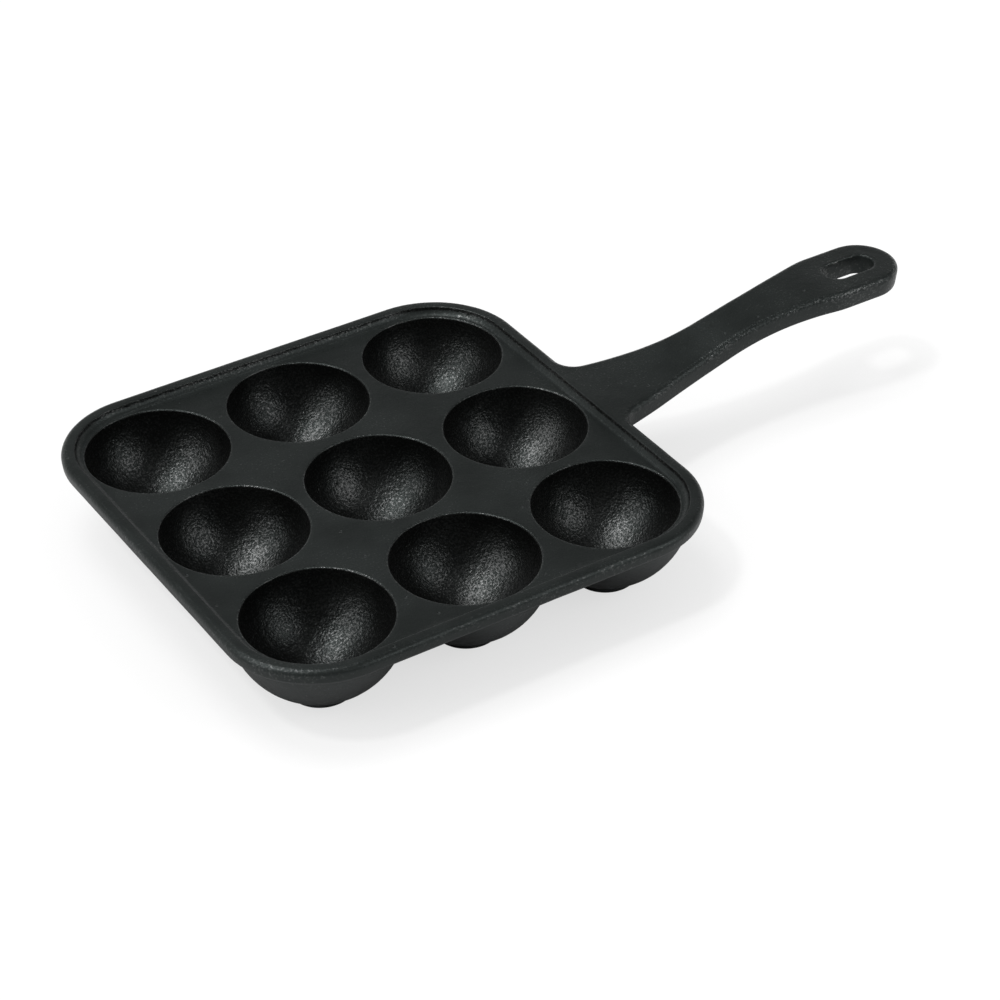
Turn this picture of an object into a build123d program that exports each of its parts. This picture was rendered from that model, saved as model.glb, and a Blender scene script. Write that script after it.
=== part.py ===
from build123d import *
import math
import os

# Cast-iron aebleskiver pan: a square plate with nine half-ball cups under it and a flat handle.
# The real pan is one iron casting. Here it is parted where its forms meet, so that the deck,
# the rim round it, each cup and the handle are solids of their own that lie face to face.
# Millimetres. +X runs out along the handle and +Z is up. The origin is on the table, under
# the middle cup, and the pan stands on the flat feet of its cups.

os.makedirs("parts", exist_ok=True)

# Wells, and the deck that they open into
well_radius = 28.25
web_width = 6.0
edge_land = 3.65
deck_thickness = 3.1
lip_radius = 0.8

# Rim round the deck
rim_width = 5.6
rim_height = 3.1
rim_edge_radius = 2.3
rim_inner_radius = 0.5
rim_foot_reach = 2.3
rim_foot_radius = 3.6

# Lean of the plate's and the handle's walls, in degrees, so that the casting leaves its mould
wall_draft = 6
under_edge_radius = 1.6

# Cups: the wall at the mouth, and how far the outer ball's centre stands above the inner one's,
# which thins the wall towards the bottom
cup_wall = 4.75
cup_rise = 0.75
cup_fillet = 2.4
foot_radius = 12.6
foot_height = 0.95
foot_edge_radius = 0.8
foot_fillet = 1.4

# Handle: places are measured from the plate's edge, and widths from side to side
handle_thickness = 9.2
handle_rise = 15.3
lower_bend_share = 0.504
climb_overlap = 1.0
root_width = 41.2
root_fillet = 8.5
root_inset = 2.6
root_shoulder = 1.5
waist_place = 64.6
waist_width = 15.7
waist_radius = 197.0
grip_place = 111.9
grip_width = 32.3
grip_radius = 39.0
bend_clearance = 1.0
grip_length = 20.1
slot_length = 23.6
slot_width = 12.4
slot_edge_radius = 1.5

# How far a cutting shape runs past what it cuts
overrun = 5.0

# The cups' names, first by their place along the handle's line and then across it
column_names = ("far", "mid", "near")
row_names = ("right", "centre", "left")

# Sizes and heights that follow from the ones above
column_count = len(column_names)
row_count = len(row_names)
cup_pitch = 2 * well_radius + web_width
edge_margin = well_radius + edge_land + rim_width
plate_length = (column_count - 1) * cup_pitch + 2 * edge_margin
plate_width = (row_count - 1) * cup_pitch + 2 * edge_margin
wall_x = plate_length / 2
wall_y = plate_width / 2
cup_radius = well_radius + cup_wall
deck_top = foot_height + cup_radius - cup_rise
deck_underside = deck_top - deck_thickness
rim_top = deck_top + rim_height
draft_slope = math.tan(math.radians(wall_draft))
rim_draft = rim_height * draft_slope


def column_x(column):
    return (column - (column_count - 1) / 2) * cup_pitch


def row_y(row):
    return (row - (row_count - 1) / 2) * cup_pitch


# The handle's root is let into the plate's edge. The deck and the rim are both cut back to this
# upright block, a little wider than the root and its fillets, and the handle fills it.
root_half = root_width / 2 + root_fillet + root_shoulder
root_x = wall_x - root_inset


def root_block():
    with BuildPart() as block:
        with BuildSketch(Plane.XY.offset(deck_underside - overrun)):
            with Locations((root_x, 0)):
                Rectangle(root_inset + overrun, 2 * root_half, align=(Align.MIN, Align.CENTER))
        extrude(amount=deck_thickness + rim_height + 2 * overrun)
    return block.part


# Deck: the plate between the wells. Its walls lean in downwards, its corners are rounded about
# the corner wells, and each well opens through it as a slice of a ball with a rounded lip.
with BuildPart() as deck:
    with BuildSketch(Plane.XY.offset(deck_top)):
        RectangleRounded(plate_length - 2 * rim_draft, plate_width - 2 * rim_draft, edge_margin - rim_draft)
    extrude(amount=-deck_thickness, taper=wall_draft)
    under_edges = deck.faces().sort_by(Axis.Z)[0].outer_wire().edges()
    fillet(under_edges, radius=under_edge_radius)
    well_places = [(column_x(c), row_y(r), deck_top) for c in range(column_count) for r in range(row_count)]
    with Locations(*well_places):
        Sphere(well_radius, mode=Mode.SUBTRACT)
    lip_edges = deck.faces().sort_by(Axis.Z)[-1].inner_wires().edges()
    fillet(lip_edges, radius=lip_radius)
    add(root_block(), mode=Mode.SUBTRACT)

deck.part.label = "deck"
export_step(deck.part, "parts/deck.step")


# Rim: one section swept round the deck's edge. Its outer wall carries on the deck's lean, its
# top is flat between rounded edges, and its inner side falls to the deck in a hollow curve.
with BuildPart() as rim:
    with BuildLine(Plane.XY.offset(deck_top)) as rim_path:
        FilletPolyline(
            (wall_x, -wall_y),
            (wall_x, wall_y),
            (-wall_x, wall_y),
            (-wall_x, -wall_y),
            radius=edge_margin,
            close=True,
        )
    path_way = rim_path.line % 0
    outward = path_way.cross(Vector(0, 0, 1))
    with BuildSketch(Plane(rim_path.line @ 0, x_dir=outward, z_dir=-path_way)) as rim_section:
        outer_top = (0, rim_height)
        inner_top = (-rim_width, rim_height)
        inner_foot = (-rim_width - rim_foot_reach, 0)
        with BuildLine():
            RadiusArc(inner_foot, inner_top, -rim_foot_radius)
            Polyline(inner_top, outer_top, (-rim_draft, 0), inner_foot)
        make_face()
        fillet(rim_section.vertices().sort_by_distance(outer_top)[0], radius=rim_edge_radius)
        fillet(rim_section.vertices().sort_by_distance(inner_top)[0], radius=rim_inner_radius)
    sweep(path=rim_path.line)
    add(root_block(), mode=Mode.SUBTRACT)

rim.part.label = "rim"
export_step(rim.part, "parts/rim.step")


# Cups: each is a ball-shaped shell under its well, thinner at the bottom than at the mouth,
# with a flat round foot. Its top flares into the deck's underside, and it is cut flat where it
# runs into the next cup.
sphere_height = deck_top + cup_rise
mouth_turn = math.degrees(math.asin(deck_thickness / well_radius))
foot_turn = math.degrees(math.acos(foot_radius / cup_radius))
flare_drop = cup_rise + deck_thickness + cup_fillet
flare_turn = math.degrees(math.asin(flare_drop / (cup_radius + cup_fillet)))
flare_radius = math.sqrt((cup_radius + cup_fillet) ** 2 - flare_drop**2)


def make_cup(column, row):
    x = column_x(column)
    y = row_y(row)
    with BuildPart() as cup:
        with BuildSketch(Plane((x, y, 0), x_dir=(1, 0, 0), z_dir=(0, -1, 0))) as section:
            with BuildLine():
                inside = CenterArc((0, deck_top), well_radius, -90, 90 - mouth_turn)
                flare = CenterArc((flare_radius, deck_underside - cup_fillet), cup_fillet, 90, 90 - flare_turn)
                outside = CenterArc((0, sphere_height), cup_radius, -flare_turn, flare_turn - foot_turn)
                Line(inside @ 1, flare @ 0)
                foot_corner = (foot_radius, 0)
                Polyline(outside @ 1, foot_corner, (0, 0), inside @ 0)
            make_face()
            fillet(section.vertices().sort_by_distance(outside @ 1)[0], radius=foot_fillet)
            fillet(section.vertices().sort_by_distance(foot_corner)[0], radius=foot_edge_radius)
        revolve(axis=Axis((x, y, 0), (0, 0, 1)))
        if column > 0:
            split(bisect_by=Plane((x - cup_pitch / 2, y, 0), z_dir=(1, 0, 0)), keep=Keep.TOP)
        if column < column_count - 1:
            split(bisect_by=Plane((x + cup_pitch / 2, y, 0), z_dir=(-1, 0, 0)), keep=Keep.TOP)
        if row > 0:
            split(bisect_by=Plane((x, y - cup_pitch / 2, 0), z_dir=(0, 1, 0)), keep=Keep.TOP)
        if row < row_count - 1:
            split(bisect_by=Plane((x, y + cup_pitch / 2, 0), z_dir=(0, -1, 0)), keep=Keep.TOP)
    cup.part.label = "cup_" + column_names[column] + "_" + row_names[row]
    return cup.part


for column in range(column_count):
    for row in range(row_count):
        cup_part = make_cup(column, row)
        export_step(cup_part, "parts/" + cup_part.label + ".step")


# Handle: a bar of even thickness that climbs from the rim's top in two easy bends. Its plan
# narrows to a waist, then widens to a grip with a round end and a slot to hang it by. The plan
# is drawn at the grip's height and leans in downwards, so that its wall is flush with the
# plate's where they meet.
grip_top = rim_top + handle_rise
climb_draft = handle_rise * draft_slope
climb_length = grip_place + climb_overlap
climb_turn = 2 * math.atan2(handle_rise, climb_length)
climb_degrees = math.degrees(climb_turn)
both_bends = climb_length / math.sin(climb_turn)
lower_bend = lower_bend_share * both_bends
upper_bend = both_bends - lower_bend
waist_x = wall_x + waist_place
grip_x = wall_x + grip_place
grip_half = grip_width / 2
grip_end = grip_x + grip_length
tip_x = grip_end + grip_half

# Between the waist and the grip the side widens along one straight line. The waist's bend takes
# as much of it as its radius asks for, and leaves the grip's bend its own length and a clearance.
widening = math.hypot(grip_x - waist_x, grip_half - waist_width / 2)
grip_lean = math.atan2(grip_half - waist_width / 2, grip_x - waist_x)
root_lean = math.atan2((root_width - waist_width) / 2 + climb_draft, waist_place - climb_draft)
grip_bend = grip_radius * math.tan(grip_lean / 2)
waist_bend = min(waist_radius * math.tan((root_lean + grip_lean) / 2), widening - grip_bend - bend_clearance)
waist_bend_radius = waist_bend / math.tan((root_lean + grip_lean) / 2)

with BuildPart() as handle:
    with BuildSketch(Plane.XY.offset(grip_top)) as plan:
        root_corner = (wall_x + climb_draft, root_width / 2 + climb_draft)
        with BuildLine():
            side = Polyline(
                (root_x - overrun, 0),
                (root_x - overrun, root_half + overrun),
                (wall_x + climb_draft, root_half + overrun),
                root_corner,
                (waist_x, waist_width / 2),
                (grip_x, grip_half),
                (grip_end, grip_half),
            )
            JernArc(side @ 1, (1, 0), grip_half, -90)
            mirror(about=Plane.XZ)
        make_face()
        for corner_x, corner_y, corner_radius in (
            (*root_corner, root_fillet - climb_draft),
            (waist_x, waist_width / 2, waist_bend_radius),
            (grip_x, grip_half, grip_radius),
        ):
            fillet(plan.vertices().sort_by_distance((corner_x, corner_y))[0], radius=corner_radius)
            fillet(plan.vertices().sort_by_distance((corner_x, -corner_y))[0], radius=corner_radius)
    extrude(amount=-handle_rise - handle_thickness, taper=wall_draft)

    # The side view: the plan's blank is kept only between the bar's upper and lower curves
    with BuildSketch(Plane.XZ):
        with BuildLine():
            upper_root = JernArc((wall_x, rim_top), (1, 0), lower_bend, climb_degrees)
            upper_crest = JernArc(upper_root @ 1, upper_root % 1, upper_bend, -climb_degrees)
            lower_crest_start = (wall_x + climb_length, grip_top - handle_thickness)
            lower_crest = JernArc(lower_crest_start, (-1, 0), upper_bend - handle_thickness, climb_degrees)
            lower_root = JernArc(lower_crest @ 1, lower_crest % 1, lower_bend + handle_thickness, -climb_degrees)
            Polyline(
                upper_crest @ 1,
                (tip_x + overrun, grip_top),
                (tip_x + overrun, grip_top - handle_thickness),
                lower_crest_start,
            )
            Polyline(
                lower_root @ 1,
                (root_x, deck_underside),
                (root_x - overrun, deck_underside),
                (root_x - overrun, rim_top),
                (wall_x, rim_top),
            )
        make_face()
    extrude(amount=root_half + 2 * overrun, both=True, mode=Mode.INTERSECT)

    # The rim's rounded edge runs on along both sides of the handle and round its end
    side_edges = handle.faces().filter_by(lambda f: abs(f.normal_at().Z) < 0.5).edges()
    upper_edges = handle.faces().filter_by(lambda f: f.normal_at().Z > 0.5).edges()
    brow_edges = upper_edges.filter_by(lambda e: e in side_edges and e.center().X > root_x)
    fillet(brow_edges, radius=rim_edge_radius)

    # The slot, with both of its edges rounded
    with BuildSketch(Plane.XY.offset(grip_top + overrun)):
        with Locations((grip_end - (slot_length - slot_width) / 2, 0)):
            SlotOverall(slot_length, slot_width)
    extrude(amount=-handle_thickness - 2 * overrun, mode=Mode.SUBTRACT)
    slot_edges = handle.edges(Select.LAST).filter_by(Axis.Z, reverse=True)
    slot_reach = (slot_width + grip_width) / 4
    fillet(slot_edges.filter_by(lambda e: abs(e.center().Y) < slot_reach), radius=slot_edge_radius)

    # The root is trimmed to the block that the plate leaves open for it
    split(bisect_by=Plane((root_x, 0, 0), z_dir=(1, 0, 0)), keep=Keep.TOP)
    split(bisect_by=Plane((0, root_half, 0), z_dir=(0, -1, 0)), keep=Keep.TOP)
    split(bisect_by=Plane((0, -root_half, 0), z_dir=(0, 1, 0)), keep=Keep.TOP)

handle.part.label = "handle"
export_step(handle.part, "parts/handle.step")
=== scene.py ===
import math

import bmesh
import bpy
from mathutils import Matrix, Vector, kdtree, noise


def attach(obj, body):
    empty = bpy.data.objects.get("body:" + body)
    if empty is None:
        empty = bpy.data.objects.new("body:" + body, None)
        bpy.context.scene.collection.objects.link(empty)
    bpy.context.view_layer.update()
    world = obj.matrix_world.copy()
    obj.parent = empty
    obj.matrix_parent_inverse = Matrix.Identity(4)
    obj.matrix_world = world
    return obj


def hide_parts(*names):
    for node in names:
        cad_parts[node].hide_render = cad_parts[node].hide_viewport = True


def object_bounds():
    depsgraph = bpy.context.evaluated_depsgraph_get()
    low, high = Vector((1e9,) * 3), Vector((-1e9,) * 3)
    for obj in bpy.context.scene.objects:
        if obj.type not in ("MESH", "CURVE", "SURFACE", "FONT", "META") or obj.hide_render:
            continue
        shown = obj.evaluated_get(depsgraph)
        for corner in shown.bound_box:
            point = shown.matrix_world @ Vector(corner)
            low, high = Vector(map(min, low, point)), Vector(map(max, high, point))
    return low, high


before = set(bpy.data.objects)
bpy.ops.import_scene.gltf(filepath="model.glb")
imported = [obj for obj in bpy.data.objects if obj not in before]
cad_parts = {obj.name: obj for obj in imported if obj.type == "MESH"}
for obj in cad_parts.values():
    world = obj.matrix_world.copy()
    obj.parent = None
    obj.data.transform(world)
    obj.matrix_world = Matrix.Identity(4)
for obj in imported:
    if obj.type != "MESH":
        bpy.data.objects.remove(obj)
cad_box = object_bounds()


# Cups
# Nine half-ball cups hang under the plate, each with a flat round foot that it stands on. They
# are sand-cast iron, poured in one go with the plate. The inside of each is a well, and where two
# cups stand side by side their walls run together in a filleted valley.

mm = 0.001
well_radius = 28.25
web_width = 6.0
deck_thickness = 3.1
cup_wall = 4.75
cup_rise = 0.75
foot_radius = 12.6
foot_height = 0.95
foot_edge = 0.8
foot_fillet = 1.4
column_names = ("far", "mid", "near")
row_names = ("right", "centre", "left")

pitch = 2 * well_radius + web_width
half = pitch / 2
last_cup = len(row_names) - 1
cup_radius = well_radius + cup_wall
deck_top = foot_height + cup_radius - cup_rise
deck_under = deck_top - deck_thickness
ball_height = deck_top + cup_rise

# Every cup, and the deck round it, is laid out on the same spokes. Spoke 0 points along the
# handle, and the spokes at an odd eighth of the turn run to the corners of the cup's square.
spokes = 96
quarter = spokes // 4
eighth = spokes // 8


def spoke_angle(spoke):
    return 2 * math.pi * spoke / spokes


# The fillet between a cup and the deck is as large as makes it end, on the parting spoke, just
# where two neighbouring cups part
part_spoke = 7
part_reach = half / math.cos(spoke_angle(part_spoke))
flare_depth = cup_rise + deck_thickness
cup_fillet = (part_reach**2 + flare_depth**2 - cup_radius**2) / (2 * (cup_radius - flare_depth))


def arc(centre, radius, start, end, steps):
    """Points (reach, height) on an arc, its angles in radians from straight out."""
    turns = [start + (end - start) * step / steps for step in range(steps + 1)]
    return [(centre[0] + radius * math.cos(t), centre[1] + radius * math.sin(t)) for t in turns]


def cup_centre(column, row):
    return (column - last_cup / 2) * pitch, (row - last_cup / 2) * pitch


def spoke_point(centre, spoke, reach, height):
    """A point on one of a cup's spokes, at some reach from its middle line."""
    angle = spoke_angle(spoke)
    return centre[0] + reach * math.cos(angle), centre[1] + reach * math.sin(angle), height


def turned(centre, profiles):
    """Rings round a cup's centre, from one profile of (reach, height) points for each spoke."""
    rings = []
    for place in range(len(profiles[0])):
        points = enumerate(profile[place] for profile in profiles)
        rings.append([spoke_point(centre, spoke, *point) for spoke, point in points])
    return rings


# The mould's sand leaves the iron a little uneven: first in slow waves, then in small ones. The
# seed keeps the waves the same each time.
wave_seed = 3
wave_lengths = (17.0, 5.5)
wave_heights = (0.07, 0.022)
noise.seed_set(wave_seed)


def cast(point):
    """A point of the pattern, in millimetres, as it comes out of the sand, in metres."""
    place = Vector(point)
    for length, height in zip(wave_lengths, wave_heights):
        place = place + noise.noise_vector(Vector(point) / length) * height
    place = place * mm
    return Vector(min(max(v, low), high) for v, low, high in zip(place, *cad_box))


# The rings of a patch either close on themselves or end
closed, ended = True, False
weld_gap = 0.002 * mm


def cast_piece(name, node, patches, skins):
    """One part of the casting. Each patch is rings of points, whether they close, and its skin."""
    shape = bmesh.new()
    for rings, closes, skin in patches:
        rows = [[shape.verts.new(cast(point)) for point in ring] for ring in rings]
        steps = len(rows[0]) if closes else len(rows[0]) - 1
        for inner, outer in zip(rows, rows[1:]):
            for k in range(steps):
                n = (k + 1) % len(inner)
                face = shape.faces.new((inner[k], outer[k], outer[n], inner[n]))
                face.material_index = skins.index(skin)
                face.smooth = True
    bmesh.ops.remove_doubles(shape, verts=shape.verts, dist=weld_gap)
    bmesh.ops.dissolve_degenerate(shape, edges=shape.edges, dist=weld_gap)
    mesh = bpy.data.meshes.new(name)
    shape.to_mesh(mesh)
    shape.free()
    for skin in skins:
        mesh.materials.append(skin)
    piece = bpy.data.objects.new(name, mesh)
    bpy.context.scene.collection.objects.link(piece)
    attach(piece, "root")
    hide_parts(node)
    return piece


# Cast skin: fine sand grain and its clumps, slow lumps, a few pits, and grains that stand out and
# shine. Sizes and heights are in millimetres. A span is where a mask starts and where it is full.
clump_ratio = 2.7
clump_weight = 0.8
lump_size = 7.0
cloud_size = 26.0
pore_spacing = 5.0
grain_detail = 2.0
lump_detail = 1.0
cloud_detail = 3.0
pore_span = (0.06, 0.16)
pore_choice = (0.80, 0.82)
tops_span = (0.62, 0.80)
shade_span = (0.25, 0.75)
shade_range = (0.86, 1.12)
drift_span = (0.3, 0.7)
glint_drift = 0.08
glint_rise = 0.26
rough_drift = 0.05


def add_node(tree, kind, **settings):
    made = tree.nodes.new(kind)
    for key, value in settings.items():
        setattr(made, key, value)
    return made


def math_node(tree, operation, first, second, third=None):
    """A step of arithmetic on numbers or on other nodes' outputs."""
    made = add_node(tree, "ShaderNodeMath", operation=operation)
    for place, value in enumerate((first, second, third)):
        if isinstance(value, bpy.types.NodeSocket):
            tree.links.new(value, made.inputs[place])
        elif value is not None:
            made.inputs[place].default_value = value
    return made.outputs[0]


def ramp_node(tree, value, low, high, to_low=0.0, to_high=1.0):
    """A smooth step from one level to another, while a value goes from low to high."""
    made = add_node(tree, "ShaderNodeMapRange", interpolation_type="SMOOTHSTEP")
    tree.links.new(value, made.inputs["Value"])
    made.inputs["From Min"].default_value = low
    made.inputs["From Max"].default_value = high
    made.inputs["To Min"].default_value = to_low
    made.inputs["To Max"].default_value = to_high
    return made.outputs["Result"]


def texture_node(tree, kind, place, size):
    """A texture whose features are about as large as the size, in millimetres."""
    made = add_node(tree, kind)
    tree.links.new(place, made.inputs["Vector"])
    tree.links.new(math_node(tree, "DIVIDE", 1 / mm, size), made.inputs["Scale"])
    return made


def noise_node(tree, place, size, detail):
    made = texture_node(tree, "ShaderNodeTexNoise", place, size)
    made.inputs["Detail"].default_value = detail
    return made.outputs["Fac"]


def make_cast_skin():
    tree = bpy.data.node_groups.new("cast_skin", "ShaderNodeTree")
    for label, kind, value in (
        ("Iron", "NodeSocketColor", (0.03, 0.03, 0.03, 1)),
        ("Grit", "NodeSocketColor", (0.1, 0.1, 0.1, 1)),
        ("Roughness", "NodeSocketFloat", 0.5),
        ("Grain Size", "NodeSocketFloat", 0.8),
        ("Grain Height", "NodeSocketFloat", 0.05),
        ("Lump Height", "NodeSocketFloat", 0.1),
        ("Pit Depth", "NodeSocketFloat", 0.1),
        ("Glint Share", "NodeSocketFloat", 0.5),
        ("Glint Level", "NodeSocketFloat", 0.5),
    ):
        tree.interface.new_socket(label, in_out="INPUT", socket_type=kind).default_value = value
    for label, kind in (
        ("Color", "NodeSocketColor"),
        ("Roughness", "NodeSocketFloat"),
        ("Height", "NodeSocketFloat"),
        ("Glint", "NodeSocketFloat"),
    ):
        tree.interface.new_socket(label, in_out="OUTPUT", socket_type=kind)
    given = add_node(tree, "NodeGroupInput").outputs
    result = add_node(tree, "NodeGroupOutput").inputs
    place = add_node(tree, "ShaderNodeTexCoord").outputs["Object"]

    grain = noise_node(tree, place, given["Grain Size"], grain_detail)
    clump_size = math_node(tree, "MULTIPLY", given["Grain Size"], clump_ratio)
    clumps = noise_node(tree, place, clump_size, lump_detail)
    lumps = noise_node(tree, place, lump_size, lump_detail)
    cloud = noise_node(tree, place, cloud_size, cloud_detail)

    # Pits: every cell of the skin may have a pore in its middle, and about a fifth of them do
    pores = texture_node(tree, "ShaderNodeTexVoronoi", place, pore_spacing)
    pore_depth = ramp_node(tree, pores.outputs["Distance"], *pore_span, 1.0, 0.0)
    picked = add_node(tree, "ShaderNodeSeparateColor")
    tree.links.new(pores.outputs["Color"], picked.inputs["Color"])
    pore_pick = ramp_node(tree, picked.outputs["Red"], *pore_choice)
    pits = math_node(tree, "MULTIPLY", pore_depth, pore_pick)

    # Height of the skin over the pattern, in metres
    sand = math_node(tree, "MULTIPLY_ADD", clumps, clump_weight, grain)
    sand = math_node(tree, "MULTIPLY", sand, given["Grain Height"])
    sand = math_node(tree, "MULTIPLY_ADD", lumps, given["Lump Height"], sand)
    sunk = math_node(tree, "MULTIPLY", pits, given["Pit Depth"])
    height = math_node(tree, "SUBTRACT", sand, sunk)
    height = math_node(tree, "MULTIPLY", height, mm)
    tree.links.new(height, result["Height"])

    # Colour: the tops of the coarser grains are paler, and the whole is slightly clouded
    tops = ramp_node(tree, grain, *tops_span)
    mix = add_node(tree, "ShaderNodeMix", data_type="RGBA")
    tree.links.new(tops, mix.inputs["Factor"])
    tree.links.new(given["Iron"], mix.inputs["A"])
    tree.links.new(given["Grit"], mix.inputs["B"])
    shade = ramp_node(tree, cloud, *shade_span, *shade_range)
    tone = add_node(tree, "ShaderNodeVectorMath", operation="SCALE")
    tree.links.new(mix.outputs["Result"], tone.inputs[0])
    tree.links.new(shade, tone.inputs["Scale"])
    tree.links.new(tone.outputs["Vector"], result["Color"])

    # Glint: the grains that stand above a level are smoother than the sand between them
    above = math_node(tree, "SUBTRACT", grain, given["Glint Level"])
    more = ramp_node(tree, cloud, *drift_span, -glint_drift, glint_drift)
    glint = ramp_node(tree, math_node(tree, "ADD", above, more), 0.0, glint_rise)
    glint = math_node(tree, "MULTIPLY", glint, given["Glint Share"])
    tree.links.new(glint, result["Glint"])

    spread = ramp_node(tree, cloud, *drift_span, -rough_drift, rough_drift)
    rough = math_node(tree, "ADD", given["Roughness"], spread)
    tree.links.new(rough, result["Roughness"])
    return tree


cast_skin = make_cast_skin()

# Blackened iron mirrors red a little less than green and blue
mirror_tint = (0.88, 1.0, 0.975, 1)


def iron_skin(name, mirror_share, glint_roughness, **values):
    """A material of blackened cast iron, with its own values for the cast skin."""
    material = bpy.data.materials.new(name)
    material.use_nodes = True
    tree = material.node_tree
    shader = tree.nodes["Principled BSDF"]
    shader.inputs["Specular IOR Level"].default_value = mirror_share
    shader.inputs["Specular Tint"].default_value = mirror_tint
    shader.inputs["Coat Roughness"].default_value = glint_roughness
    skin = add_node(tree, "ShaderNodeGroup", node_tree=cast_skin)
    for label, value in values.items():
        skin.inputs[label.replace("_", " ")].default_value = value
    # The skin's height is in metres already, so the bump takes it as it is
    bump = add_node(tree, "ShaderNodeBump")
    bump.inputs["Distance"].default_value = 1.0
    tree.links.new(skin.outputs["Height"], bump.inputs["Height"])
    tree.links.new(skin.outputs["Color"], shader.inputs["Base Color"])
    tree.links.new(skin.outputs["Roughness"], shader.inputs["Roughness"])
    tree.links.new(skin.outputs["Glint"], shader.inputs["Coat Weight"])
    tree.links.new(bump.outputs["Normal"], shader.inputs["Normal"])
    tree.links.new(bump.outputs["Normal"], shader.inputs["Coat Normal"])
    return material


# The wells are black with baked oil and painted darker still as shade, and shine in coarse grains.
oil_and_painted_shade_skin = iron_skin(
    "oil_and_painted_shade_iron",
    mirror_share=0.2,
    glint_roughness=0.31,
    Iron=(0.0018, 0.0018, 0.0017, 1),
    Grit=(0.006, 0.006, 0.006, 1),
    Roughness=0.40,
    Grain_Size=0.8,
    Grain_Height=0.19,
    Lump_Height=0.10,
    Pit_Depth=0.10,
    Glint_Share=0.85,
    Glint_Level=0.42,
)
# The outsides are duller, and their colour is painted paler as light on them.
outside_painted_light_skin = iron_skin(
    "outside_painted_light_iron",
    mirror_share=0.3,
    glint_roughness=0.3,
    Iron=(0.028, 0.029, 0.029, 1),
    Grit=(0.028, 0.030, 0.029, 1),
    Roughness=0.55,
    Grain_Size=0.9,
    Grain_Height=0.07,
    Lump_Height=0.15,
    Pit_Depth=0.10,
    Glint_Share=0.6,
    Glint_Level=0.62,
)

# Inside: half a ball, from its bottom up to the deck's underside
well_steps = 20
mouth_turn = math.asin(deck_thickness / well_radius)
well_profile = arc((0, deck_top), well_radius, -math.pi / 2, -mouth_turn, well_steps)

# Outside: a flare under the deck, the ball, and the foot with its fillet, edge and sole
flare_steps = 5
ball_steps = 14
foot_steps = 4
sole_shares = (0.75, 0.5, 0.25, 0)


def cup_outside(column, row, spoke):
    """The cup's outside along one spoke, from the deck or the next cup in to the foot's middle."""
    along, across = math.cos(spoke_angle(spoke)), math.sin(spoke_angle(spoke))
    reach = part_reach
    for way, place in ((along, column), (across, row)):
        if (way > 0 and place < last_cup) or (way < 0 and place > 0):
            reach = min(reach, half / abs(way))
    fillet_height = ball_height - math.sqrt((cup_radius + cup_fillet) ** 2 - reach**2)
    ball_turn = math.atan2(ball_height - fillet_height, reach)
    flare = arc((reach, fillet_height), cup_fillet, math.pi / 2, math.pi - ball_turn, flare_steps)
    hollow_reach = foot_radius + foot_fillet
    hollow_drop = math.sqrt((cup_radius + foot_fillet) ** 2 - hollow_reach**2)
    foot_turn = math.atan2(hollow_drop, hollow_reach)
    ball = arc((0, ball_height), cup_radius, -ball_turn, -foot_turn, ball_steps)
    hollow_centre = (hollow_reach, ball_height - hollow_drop)
    hollow = arc(hollow_centre, foot_fillet, math.pi - foot_turn, math.pi, foot_steps)
    edge = arc((foot_radius - foot_edge, foot_edge), foot_edge, 0, -math.pi / 2, foot_steps)
    sole = [(foot_radius * share, 0) for share in sole_shares]
    return flare + ball[1:] + hollow[1:] + edge + sole


pieces = []
for column, column_name in enumerate(column_names):
    for row, row_name in enumerate(row_names):
        centre = cup_centre(column, row)
        inside = turned(centre, [well_profile] * spokes)
        outside = turned(centre, [cup_outside(column, row, spoke) for spoke in range(spokes)])
        node = f"cup_{column_name}_{row_name}"
        patches = [(inside, closed, oil_and_painted_shade_skin), (outside, closed, outside_painted_light_skin)]
        pieces.append(cast_piece(f"{node}_casting", node, patches, (oil_and_painted_shade_skin, outside_painted_light_skin)))


# Deck
# The flat iron plate that joins the nine cups, cast in one with them. Each well's lip is rounded,
# so that the balls can be turned without a sharp edge in the way, and the walls lean in so that
# the plate left its mould.

edge_land = 3.65
lip_radius = 0.8
rim_width = 5.6
rim_height = 3.1
rim_foot_reach = 2.3
foot_blend = 0.3
wall_lean = math.radians(6)
under_edge = 1.6

edge_margin = well_radius + edge_land + rim_width
wall_reach = pitch + edge_margin
rim_top = deck_top + rim_height
plate_depth = rim_height + deck_thickness
draft = math.tan(wall_lean)

plate_tones = dict(
    mirror_share=0.22,
    Iron=(0.0103, 0.0119, 0.0115, 1),
    Grit=(0.014, 0.016, 0.015, 1),
    Roughness=0.42,
    Grain_Size=0.9,
)
deck_skin = iron_skin(
    "deck_iron",
    glint_roughness=0.28,
    Grain_Height=0.06,
    Lump_Height=0.10,
    Pit_Depth=0.15,
    Glint_Share=0.9,
    Glint_Level=0.60,
    **plate_tones,
)
# The edges are rubbed by the turning needle and by cloths, so more of their grains shine, most
# of all on the lips
edge_skin = iron_skin(
    "edge_iron",
    glint_roughness=0.28,
    Grain_Height=0.13,
    Lump_Height=0.10,
    Pit_Depth=0.15,
    Glint_Share=0.7,
    Glint_Level=0.53,
    **plate_tones,
)
lip_skin = iron_skin(
    "lip_iron",
    glint_roughness=0.20,
    Grain_Height=0.28,
    Lump_Height=0.10,
    Pit_Depth=0.15,
    Glint_Share=1.0,
    Glint_Level=0.48,
    **plate_tones,
)

under_edge_steps = 4


def lower_edge(depth):
    """The rounding under a leaning wall of some depth, as (outward, upward) from its sharp top."""
    inward = -depth * draft - under_edge * math.tan((math.pi / 2 - wall_lean) / 2)
    middle = (inward, under_edge - depth)
    return arc(middle, under_edge, -wall_lean, -math.pi / 2, under_edge_steps)


def swung(x, y, side):
    """A place or a direction, turned from a square's first side to another of its sides."""
    turn = side * math.pi / 2
    return x * math.cos(turn) - y * math.sin(turn), x * math.sin(turn) + y * math.cos(turn)


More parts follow.
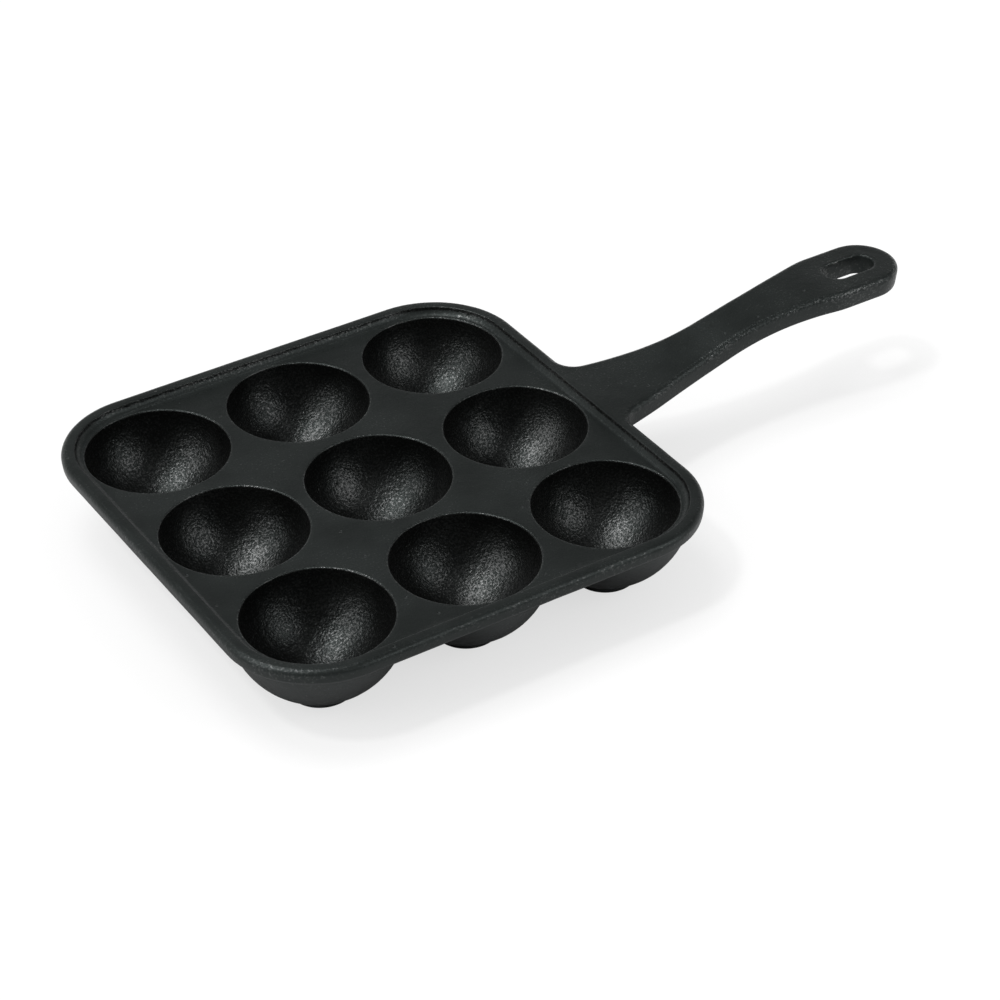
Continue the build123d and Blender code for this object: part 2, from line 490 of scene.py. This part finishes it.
def patch_edge(column, row, spoke, reach, steep=False):
    """Where a spoke meets the edge of a cup's patch of deck, from the cup's centre. Towards the
    plate's edge the patch goes as far as reach. Under the deck the spokes are steep, so that
    they meet the valleys between the cups."""
    side, step = divmod(spoke + eighth, quarter)
    side, step = side % 4, step - eighth
    outer = (column == last_cup, row == last_cup, column == 0, row == 0)
    beside = (side + 1) % 4 if step > 0 else side - 1
    out, end = (reach if outer[place] else half for place in (side, beside))
    steps = abs(step)
    if outer[side] and outer[beside]:
        x, y = reach * math.cos(spoke_angle(steps)), reach * math.sin(spoke_angle(steps))
    elif steep and not outer[side]:
        valley = half * math.tan(spoke_angle(min(steps, part_spoke)))
        beyond = max(steps - part_spoke, 0) / (eighth - part_spoke)
        x, y = out, valley + (end - valley) * beyond
    else:
        x, y = out, end * steps / eighth
    return swung(x, math.copysign(y, step), side)


def between(inner, outer, shares):
    """Rings of points between two rings, at some shares of the way."""
    rings = []
    for share in shares:
        rings.append([tuple(Vector(a).lerp(Vector(b), share)) for a, b in zip(inner, outer)])
    return rings


# Each side of the plate's outer line is a straight run past two pitches, and then its corner
straight_steps = 2 * quarter
side_steps = straight_steps + quarter
plate_steps = 4 * side_steps


def plate_station(place):
    """A place on the plate's outer line, counted from the near right corner well's own side, and
    the way that its wall faces: x, y, and the outward direction."""
    side, step = divmod(place, side_steps)
    if step < straight_steps:
        x, y, out_x, out_y = wall_reach, step * half / eighth - pitch, 1.0, 0.0
    else:
        angle = spoke_angle(step - straight_steps)
        out_x, out_y = math.cos(angle), math.sin(angle)
        x, y = pitch + edge_margin * out_x, pitch + edge_margin * out_y
    return *swung(x, y, side), *swung(out_x, out_y, side)


def plate_rings(profile, stations):
    """Rings along the plate's edge, from (outward, upward) points measured from its sharp top."""
    rings = []
    for outward, upward in profile:
        ring = []
        for station in stations:
            x, y, out_x, out_y = plate_station(station)
            ring.append((x + out_x * outward, y + out_y * outward, rim_top + upward))
        rings.append(ring)
    return rings


# The handle stands on 24 steps of the plate's near side, as many to each side of its middle.
# There the plate has no wall of its own.
root_steps = 12
side_middle = straight_steps // 2
around = range(plate_steps)
wall_run = range(side_middle + root_steps, side_middle + plate_steps - root_steps + 1)

# The lip's lower rounding has the well's black and painted shade, and the rest of it is rubbed
lip_steps = 6
black_lip_steps = 3
mouth_height = deck_top - lip_radius
lip_reach = math.sqrt((well_radius + lip_radius) ** 2 - lip_radius**2)
lip_turn = math.atan2(lip_radius, lip_reach)
lip = arc((lip_reach, mouth_height), lip_radius, math.pi - lip_turn, math.pi / 2, lip_steps)
well_wall = arc((0, deck_top), well_radius, -mouth_turn, -lip_turn, 1)
black_rings = len(well_wall) + black_lip_steps

top_shares = (0.12, 0.35, 0.65, 1)
under_shares = (0, 0.33, 0.67, 1)
rim_foot = edge_margin - rim_width - rim_foot_reach - foot_blend
under_profile = lower_edge(plate_depth)
under_reach = edge_margin + under_profile[-1][0]

deck_patches = []
for column in range(len(column_names)):
    for row in range(len(row_names)):
        centre = cup_centre(column, row)
        mouth = turned(centre, [well_wall + lip[1:]] * spokes)
        top_edge = []
        under_ring = []
        under_start = []
        for spoke in range(spokes):
            x, y = patch_edge(column, row, spoke, rim_foot)
            top_edge.append((centre[0] + x, centre[1] + y, deck_top))
            x, y = patch_edge(column, row, spoke, under_reach, steep=True)
            edge_point = (centre[0] + x, centre[1] + y, deck_under)
            ring_point = spoke_point(centre, spoke, *cup_outside(column, row, spoke)[0])
            # In a valley two cups meet below the deck, so no deck shows between them
            in_valley = ring_point[2] < deck_under - weld_gap / mm
            under_ring.append(ring_point)
            under_start.append(ring_point if in_valley else edge_point)
        top = [mouth[-1]] + between(mouth[-1], top_edge, top_shares)
        deck_patches += [
            (mouth[:black_rings], closed, oil_and_painted_shade_skin),
            (mouth[black_rings - 1:], closed, lip_skin),
            (top, closed, deck_skin),
            (between(under_start, under_ring, under_shares), closed, outside_painted_light_skin),
        ]

wall_top = (-rim_height * draft, -rim_height)
deck_patches.append((plate_rings([wall_top] + under_profile[:1], wall_run), ended, deck_skin))
deck_patches.append((plate_rings(under_profile, wall_run), ended, outside_painted_light_skin))
deck_skins = (deck_skin, oil_and_painted_shade_skin, lip_skin, outside_painted_light_skin)
pieces.append(cast_piece("deck_casting", "deck", deck_patches, deck_skins))


# Rim
# A low iron border round the deck that keeps the batter on the pan. It is cast with the deck:
# rounded outside, flat on top, and hollow inside, where it falls to the deck in a small cove.

rim_edge_radius = 2.3
rim_inner_radius = 0.5
rim_cove_radius = 3.6
cove_steps = 7
brow_steps = 4
edge_steps = 7

cove_chord = Vector((rim_foot_reach, rim_height))
cove_rise = math.sqrt(rim_cove_radius**2 - (cove_chord.length / 2) ** 2)
cove_middle = Vector((-rim_width - rim_foot_reach, -rim_height)) + cove_chord / 2
cove_middle += Vector((-cove_chord.y, cove_chord.x)).normalized() * cove_rise
cove_foot = math.atan2(-rim_height - cove_middle.y, -rim_width - rim_foot_reach - cove_middle.x)
brow_rise = cove_middle.y + rim_inner_radius
brow_lean = math.asin(brow_rise / (rim_cove_radius + rim_inner_radius))
brow_reach = (rim_cove_radius + rim_inner_radius) * math.cos(brow_lean) + cove_middle.x
brow_middle = (brow_reach, -rim_inner_radius)
cove = arc(cove_middle, rim_cove_radius, cove_foot, -brow_lean, cove_steps)
brow = arc(brow_middle, rim_inner_radius, math.pi - brow_lean, math.pi / 2, brow_steps)

edge_tangent = rim_edge_radius * math.tan((math.pi / 2 + wall_lean) / 2)
edge_middle = (-edge_tangent, -rim_edge_radius)
upper_edge = arc(edge_middle, rim_edge_radius, math.pi / 2, -wall_lean, edge_steps)
rim_inside = [(rim_foot - edge_margin, -rim_height)] + cove[1:] + brow[1:]
top_middle = ((rim_inside[-1][0] + upper_edge[0][0]) / 2, 0)
# Under the brow, where the cove is steep, painted shade makes the skin as dark as in the wells
steep_first, steep_last = 5, 9
rim_patches = [
    (plate_rings(rim_inside[:steep_first + 1], around), closed, edge_skin),
    (plate_rings(rim_inside[steep_first:steep_last + 1], around), closed, oil_and_painted_shade_skin),
    (plate_rings(rim_inside[steep_last:], around), closed, edge_skin),
    (plate_rings([rim_inside[-1], top_middle, upper_edge[0]], around), closed, deck_skin),
    (plate_rings(upper_edge, wall_run), ended, edge_skin),
    (plate_rings([upper_edge[-1], wall_top], wall_run), ended, deck_skin),
]
rim_skins = (deck_skin, edge_skin, oil_and_painted_shade_skin)
pieces.append(cast_piece("rim_casting", "rim", rim_patches, rim_skins))


# Handle
# A flat iron bar of even thickness, cast in one with the plate. It flares out of the rim, climbs
# in two easy bends past a narrow waist, and ends in a round grip with a slot to hang it by.

handle_thickness = 9.2
handle_rise = 15.3
lower_bend_share = 0.504
climb_length = 112.9
root_width = 41.2
root_fillet = 8.5
root_drop = 5.0
waist_place = 64.6
waist_width = 15.7
waist_radius = 197.0
grip_place = 111.9
grip_width = 32.3
grip_radius = 39.0
grip_length = 20.1
slot_length = 23.6
slot_width = 11.9
slot_edge = 0.9

grip_top = rim_top + handle_rise
grip_half = grip_width / 2
climb_turn = 2 * math.atan2(handle_rise, climb_length)
both_bends = climb_length / math.sin(climb_turn)
lower_bend = lower_bend_share * both_bends
upper_bend = both_bends - lower_bend
climb_end = wall_reach + climb_length
grip_x = wall_reach + grip_place
grip_end = grip_x + grip_length
slot_half = slot_width / 2
slot_start = grip_end - slot_length + slot_width
slot_run = grip_end - slot_start

handle_skin = iron_skin(
    "handle_iron",
    glint_roughness=0.28,
    Grain_Height=0.08,
    Lump_Height=0.12,
    Pit_Depth=0.2,
    Glint_Share=0.9,
    Glint_Level=0.58,
    **plate_tones,
)


def eased(share):
    share = min(max(share, 0), 1)
    return share * share * (3 - 2 * share)


def side_height(x, drop):
    """Height of the bar's upper curve over a place along it, or of its lower one, which lies a
    drop below, square to the bar."""
    x = min(max(x, wall_reach), climb_end)
    bend = x - wall_reach
    if bend < (lower_bend + drop) * math.sin(climb_turn):
        return rim_top + lower_bend - math.sqrt((lower_bend + drop) ** 2 - bend**2)
    return grip_top - upper_bend + math.sqrt((upper_bend - drop) ** 2 - (climb_end - x) ** 2)


def top_height(x):
    return side_height(x, 0)


def under_height(x):
    bar_share = eased((x - wall_reach) / root_drop)
    return deck_under + (side_height(x, handle_thickness) - deck_under) * bar_share


# Stations along a straight run of the bar's side lie about this far apart
station_gap = 1.6


def rounded_line(start, corners, end, arc_steps):
    """Points along a line with rounded corners, each with its outward direction, to the right."""
    points = []
    here = Vector(start)
    for place, (x, y, radius) in enumerate(corners):
        corner = Vector((x, y))
        before = Vector(start if place == 0 else corners[place - 1][:2])
        beyond = Vector(corners[place + 1][:2] if place + 1 < len(corners) else end)
        way_in = (corner - before).normalized()
        way_out = (beyond - corner).normalized()
        turn = way_in.angle_signed(way_out)
        tangent = radius * math.tan(abs(turn) / 2)
        bend_start = corner - way_in * tangent
        steps = max(1, round((bend_start - here).length / station_gap))
        for step in range(steps):
            points.append((*here.lerp(bend_start, step / steps), way_in.y, -way_in.x))
        side = math.copysign(1, -turn)
        middle = bend_start + Vector((-way_in.y, way_in.x)) * radius * side
        steps = arc_steps[place]
        for step in range(steps):
            turned_by = Matrix.Rotation(-turn * step / steps, 2)
            x, y = middle + turned_by @ (bend_start - middle)
            out = turned_by @ Vector((way_in.y, -way_in.x))
            points.append((x, y, *out))
        here = corner + way_out * tangent
    steps = max(1, round((Vector(end) - here).length / station_gap))
    for step in range(steps):
        points.append((*here.lerp(Vector(end), step / steps), way_out.y, -way_out.x))
    return points


# The plan's right side, drawn at the grip's height, and from it the whole outline round the tip.
# The stations that matter are the first on the grip's rounding, the slot's start and its end.
climb_draft = handle_rise * draft
root_line = wall_reach + climb_draft
root_edge = root_steps * half / eighth
bend_steps = (12, 34, 4)
slot_steps = 7
tip_steps = 16
right_side = rounded_line(
    (root_line, -root_edge),
    (
        (root_line, -root_width / 2 - climb_draft, root_fillet - climb_draft),
        (wall_reach + waist_place, -waist_width / 2, waist_radius),
        (grip_x, -grip_half, grip_radius),
    ),
    (slot_start, -grip_half),
    bend_steps,
)
grip_straight = sum(1 for point in right_side if point[3] == -1)
slot_first = len(right_side)
grip_first = slot_first - grip_straight - bend_steps[-1]
for step in range(slot_steps):
    right_side.append((slot_start + slot_run * step / slot_steps, -grip_half, 0.0, -1.0))
for x, y in arc((grip_end, 0), grip_half, -math.pi / 2, 0, tip_steps):
    right_side.append((x, y, (x - grip_end) / grip_half, y / grip_half))
left_side = [(x, -y, out_x, -out_y) for x, y, out_x, out_y in reversed(right_side[:-1])]
outline = right_side + left_side

# The wall leans in from the plan by its depth below the grip, which is found in a few rounds,
# because the bar's height is that at the wall's own place
lean_rounds = 4


def handle_section(x, y, out_x, out_y):
    """Points down the bar's side at one station of the outline, from its flat top to its flat
    underside."""
    edge_x = x
    for _ in range(lean_rounds):
        edge_x = x - out_x * (grip_top - top_height(edge_x)) * draft
    edge_y = y - out_y * (grip_top - top_height(edge_x)) * draft
    depth = top_height(edge_x) - under_height(edge_x)
    profile = upper_edge + [(-depth / 2 * draft, -depth / 2)] + lower_edge(depth)
    section = []
    for outward, upward in profile:
        point_x = edge_x + out_x * outward
        section.append((point_x, edge_y + out_y * outward, top_height(point_x) + upward))
    return section


sections = [handle_section(*station) for station in outline]
side_rings = [list(ring) for ring in zip(*sections)]


def bar_row(ring, station, height, bulge):
    """Points across the bar between two mirrored stations of a ring. The middle of a row runs on
    ahead of its ends by the bulge, which opens up the rows in the root's corners. Only near its
    ends does a row leave the bar's own height for the ring's."""
    right, left = Vector(ring[station]), Vector(ring[-1 - station])
    row = [tuple(right)]
    for step in range(1, 2 * root_steps):
        point = right.lerp(left, step / (2 * root_steps))
        spread = step / root_steps - 1
        x = point.x + bulge * (1 - spread**2)
        lift = (right.z - height(right.x)) * spread**4
        row.append((x, point.y, height(x) + lift))
    return row + [tuple(left)]


# The bulge grows along the root's fillets and fades out past them
bulge_rate = 0.45
bulge_fade = 45.0
root_end = bend_steps[0] + 1
run = [0.0]
for here, there in zip(side_rings[0], side_rings[0][1:]):
    run.append(run[-1] + (Vector(there) - Vector(here)).length)
top_rows = []
under_rows = []
for station in range(grip_first + 1):
    bulge = bulge_rate * min(run[station], run[root_end])
    bulge *= eased(1 - max(0.0, run[station] - run[root_end]) / bulge_fade)
    top_rows.append(bar_row(side_rings[0], station, top_height, bulge))
    under_rows.append(bar_row(side_rings[-1], station, under_height, bulge)[::-1])

# The grip's skin runs in rings round the slot. Each ring starts where the grip starts, goes out
# round the tip, and comes back across the bar. The slot's path has the same steps: the centre of
# its rounding, and the way out from there.
grip_run = range(grip_first, len(outline) - grip_first)
grip_lead = slot_first - grip_first
back_steps = 2 * (grip_lead + root_steps)
slot_path = []
for step in range(-grip_lead, 0):
    slot_path.append((slot_start, math.pi * (step / back_steps - 0.5)))
for step in range(slot_steps + 1):
    slot_path.append((slot_start + slot_run * step / slot_steps, -math.pi / 2))
for step in range(1, 2 * tip_steps + 1):
    slot_path.append((grip_end, math.pi * (step / (2 * tip_steps) - 0.5)))
for step in range(1, slot_steps + 1):
    slot_path.append((grip_end - slot_run * step / slot_steps, math.pi / 2))
for step in range(1, grip_lead + 2 * root_steps):
    slot_path.append((slot_start, math.pi * (step / back_steps + 0.5)))


def slot_ring(outward, height):
    """A ring along the slot's path, some way out from the slot's wall, at the height of a curve."""
    radius = slot_half + outward
    ring = []
    for middle, angle in slot_path:
        x = middle + radius * math.cos(angle)
        ring.append((x, radius * math.sin(angle), height(x)))
    return ring


def grip_loop(ring, row):
    """A side ring's part round the grip, closed by a row across the bar."""
    return [ring[place] for place in grip_run] + row[-2:0:-1]


slot_shares = (1, 0.72, 0.48, 0.28, 0.12, 0)
slot_edge_steps = 4
outer_under = grip_loop(side_rings[-1], under_rows[-1][::-1])
outer_top = grip_loop(side_rings[0], top_rows[-1])
lower_middle, upper_middle = (slot_edge, slot_edge), (slot_edge, -slot_edge)
lower_turns = arc(lower_middle, slot_edge, -math.pi / 2, -math.pi, slot_edge_steps)
upper_turns = arc(upper_middle, slot_edge, math.pi, math.pi / 2, slot_edge_steps)
grip_rings = between(slot_ring(slot_edge, under_height), outer_under, slot_shares)
for outward, upward in lower_turns[1:]:
    grip_rings.append(slot_ring(outward, lambda x: under_height(x) + upward))
grip_rings.append(slot_ring(0, lambda x: (top_height(x) + under_height(x)) / 2))
for outward, upward in upper_turns[:-1]:
    grip_rings.append(slot_ring(outward, lambda x: top_height(x) + upward))
grip_rings += between(slot_ring(slot_edge, top_height), outer_top, slot_shares[::-1])

# The upper edges of the bar and of its slot are rubbed, as the wells' lips are
edge_rings = len(upper_edge)
slot_lip = len(slot_shares) + len(lower_turns)
slot_lip_end = slot_lip + len(upper_turns)
handle_patches = [
    (side_rings[:edge_rings], ended, lip_skin),
    (side_rings[edge_rings - 1:], ended, handle_skin),
    (top_rows, ended, handle_skin),
    (under_rows, ended, handle_skin),
    (grip_rings[:slot_lip + 1], closed, handle_skin),
    (grip_rings[slot_lip:slot_lip_end], closed, lip_skin),
    (grip_rings[slot_lip_end - 1:], closed, handle_skin),
]
pieces.append(cast_piece("handle_casting", "handle", handle_patches, (handle_skin, lip_skin)))


# Skin across the joints
# The real pan is one iron casting, so its skin runs on over the lines where the parts meet. Where
# two or more parts share a point, they share the way that the skin faces there.

joint_points = []
for piece in pieces:
    mesh = piece.data
    uses = {}
    for face in mesh.polygons:
        for key in face.edge_keys:
            uses[key] = uses.get(key, 0) + 1
    points = {}
    for key, count in uses.items():
        if count == 1:
            for index in key:
                points[index] = mesh.vertices[index].co.copy()
    joint_points.append(points)
nearby = kdtree.KDTree(sum(len(points) for points in joint_points))
facing = []
for piece, points in zip(pieces, joint_points):
    for index, place in points.items():
        nearby.insert(place, len(facing))
        facing.append(piece.data.vertex_normals[index].vector.copy())
nearby.balance()
for piece, points in zip(pieces, joint_points):
    normals = [normal.vector.copy() for normal in piece.data.vertex_normals]
    for index, place in points.items():
        summed = Vector()
        for _, other, _ in nearby.find_range(place, weld_gap):
            summed += facing[other]
        normals[index] = summed.normalized()
    piece.data.normals_split_custom_set_from_vertices(normals)


# Table and studio
# The pan stands on a plain pale table under a far lamp with a soft edge, which throws its shadow
# out along the handle. Three soft boxes light it: one over the plate's far edge, one beside the
# handle, and one overhead.

table_size = 8.0
table_gap = 0.15 * mm
table = bpy.data.objects.new("table", bpy.data.meshes.new("table"))
bpy.context.scene.collection.objects.link(table)
sheet = bmesh.new()
bmesh.ops.create_grid(sheet, x_segments=1, y_segments=1, size=table_size / 2)
sheet.to_mesh(table.data)
sheet.free()
table.location.z = -table_gap

# To the camera, the table is part lit surface, which holds the shadow, and part plain white. The
# white is darkened by a painted contact shadow close to the pan, and more so in what the iron
# mirrors.
paper_colour = (0.9, 0.9, 0.9, 1)
paper_roughness = 0.9
paper_mirror = 0.1
white_share = 0.8
white_level = 1.05
painted_shadow_reach = 0.08
painted_shadow_samples = 8
painted_shadow_share = 0.22
mirrored_painted_shadow = 1.8
paper = bpy.data.materials.new("table_paper")
paper.use_nodes = True
paper_tree = paper.node_tree
paper_shader = paper_tree.nodes["Principled BSDF"]
paper_shader.inputs["Base Color"].default_value = paper_colour
paper_shader.inputs["Roughness"].default_value = paper_roughness
paper_shader.inputs["Specular IOR Level"].default_value = paper_mirror
paper_glow = add_node(paper_tree, "ShaderNodeEmission")
# Painted contact shadow: occlusion near the pan darkens the white glow, most of all in what the
# iron mirrors
painted_shadow_ao = add_node(paper_tree, "ShaderNodeAmbientOcclusion", samples=painted_shadow_samples)
painted_shadow_ao.inputs["Distance"].default_value = painted_shadow_reach
rays = add_node(paper_tree, "ShaderNodeLightPath").outputs
extra_mirrored_shadow = mirrored_painted_shadow - painted_shadow_share
painted_shadow_weight = math_node(paper_tree, "MULTIPLY_ADD", rays["Is Glossy Ray"], extra_mirrored_shadow, painted_shadow_share)
gap = math_node(paper_tree, "SUBTRACT", 1.0, painted_shadow_ao.outputs["AO"])
painted_shadow_loss = math_node(paper_tree, "MULTIPLY", gap, painted_shadow_weight)
glow_level = math_node(paper_tree, "MULTIPLY_ADD", painted_shadow_loss, -white_level, white_level)
glow_level = math_node(paper_tree, "MAXIMUM", glow_level, 0.0)
paper_tree.links.new(glow_level, paper_glow.inputs["Strength"])
seen = math_node(paper_tree, "MAXIMUM", rays["Is Camera Ray"], rays["Is Glossy Ray"])
seen = math_node(paper_tree, "MAXIMUM", seen, rays["Is Transmission Ray"])
paper_mix = add_node(paper_tree, "ShaderNodeMixShader")
white_part = math_node(paper_tree, "MULTIPLY", seen, white_share)
paper_tree.links.new(white_part, paper_mix.inputs["Fac"])
paper_tree.links.new(paper_shader.outputs["BSDF"], paper_mix.inputs[1])
paper_tree.links.new(paper_glow.outputs["Emission"], paper_mix.inputs[2])
# From below, the table lets the pan's underside be seen
see_through = add_node(paper_tree, "ShaderNodeBsdfTransparent")
paper_sides = add_node(paper_tree, "ShaderNodeMixShader")
below = add_node(paper_tree, "ShaderNodeNewGeometry").outputs["Backfacing"]
paper_tree.links.new(below, paper_sides.inputs["Fac"])
paper_tree.links.new(paper_mix.outputs["Shader"], paper_sides.inputs[1])
paper_tree.links.new(see_through.outputs["BSDF"], paper_sides.inputs[2])
paper_end = paper_tree.nodes["Material Output"]
paper_tree.links.new(paper_sides.outputs["Shader"], paper_end.inputs["Surface"])
table.data.materials.append(paper)

# The air is white to the camera and lights the room a little. The iron mirrors a band of it low
# down on one side, which fades out with height and away from that side.
room_level = 0.03
band_level = 1.0
band_fade = (0.10, 0.55)
away_turn = math.radians(58)
away_fade = (-0.2, 0.5)
world = bpy.data.worlds.new("studio")
bpy.context.scene.world = world
world.use_nodes = True
air_tree = world.node_tree
air = air_tree.nodes["Background"]
air.inputs["Color"].default_value = (1, 1, 1, 1)
air_rays = add_node(air_tree, "ShaderNodeLightPath").outputs
looking = add_node(air_tree, "ShaderNodeTexCoord").outputs["Generated"]
way = add_node(air_tree, "ShaderNodeSeparateXYZ")
air_tree.links.new(looking, way.inputs["Vector"])
band = ramp_node(air_tree, way.outputs["Z"], *band_fade, band_level, 0.0)
away = math_node(air_tree, "MULTIPLY", way.outputs["X"], math.cos(away_turn))
away = math_node(air_tree, "MULTIPLY_ADD", way.outputs["Y"], math.sin(away_turn), away)
band = math_node(air_tree, "MULTIPLY", band, ramp_node(air_tree, away, *away_fade))
glossy, clear = air_rays["Is Glossy Ray"], air_rays["Is Transmission Ray"]
mirrored = math_node(air_tree, "MAXIMUM", glossy, clear)
mirrored = math_node(air_tree, "MULTIPLY", mirrored, band)
air_seen = math_node(air_tree, "MAXIMUM", air_rays["Is Camera Ray"], mirrored)
air_level = math_node(air_tree, "MAXIMUM", air_seen, room_level)
air_tree.links.new(air_level, air.inputs["Strength"])


def aim(thing, azimuth, elevation, distance):
    """Puts a lamp on a bearing from +X, at an angle above the table, and turns it to the pan."""
    turn, rise = math.radians(azimuth), math.radians(elevation)
    out = Vector((math.cos(turn) * math.cos(rise), math.sin(turn) * math.cos(rise), math.sin(rise)))
    thing.location = out * distance
    thing.rotation_mode = "QUATERNION"
    thing.rotation_quaternion = out.to_track_quat("Z", "Y")


box_distance = 2.2


def soft_box(name, azimuth, elevation, width, height, watts):
    lamp = bpy.data.lights.new(name, "AREA")
    lamp.shape = "RECTANGLE"
    lamp.size, lamp.size_y = width, height
    lamp.energy = watts
    box = bpy.data.objects.new(name, lamp)
    bpy.context.scene.collection.objects.link(box)
    aim(box, azimuth, elevation, box_distance)


far_lamp = bpy.data.lights.new("far_lamp", "SUN")
far_lamp.energy = 1.35
far_lamp.angle = math.radians(7)
lamp_object = bpy.data.objects.new("far_lamp", far_lamp)
bpy.context.scene.collection.objects.link(lamp_object)
aim(lamp_object, azimuth=172, elevation=63, distance=2)
soft_box("left_box", azimuth=172, elevation=36, width=1.4, height=1.4, watts=22)
soft_box("right_box", azimuth=-51, elevation=30, width=1.1, height=1.4, watts=20)
soft_box("top_box", azimuth=115, elevation=73, width=0.95, height=0.95, watts=23)

# Camera: found from the nine round well mouths in the photograph
camera_azimuth = -32.164
camera_elevation = 35.432
camera_roll = -0.787
camera_place = (-0.44888, -0.80105, 0.67388)
camera_sensor = 36
camera_lens = 105.196
camera_data = bpy.data.cameras.new("camera")
camera_data.sensor_width = camera_sensor
camera_data.lens = camera_lens
camera = bpy.data.objects.new("camera", camera_data)
bpy.context.scene.collection.objects.link(camera)
turn, rise = math.radians(camera_azimuth), math.radians(camera_elevation)
back = Vector((math.sin(turn) * math.cos(rise), -math.cos(turn) * math.cos(rise), math.sin(rise)))
right = Vector((math.cos(turn), math.sin(turn), 0))
up = back.cross(right)
rolled = Matrix.Rotation(math.radians(camera_roll), 3, back)
axes = Matrix((rolled @ right, rolled @ up, back)).transposed()
camera.matrix_world = Matrix.Translation(camera_place) @ axes.to_4x4()
bpy.context.scene.camera = camera
bpy.context.scene.view_settings.view_transform = "Standard"
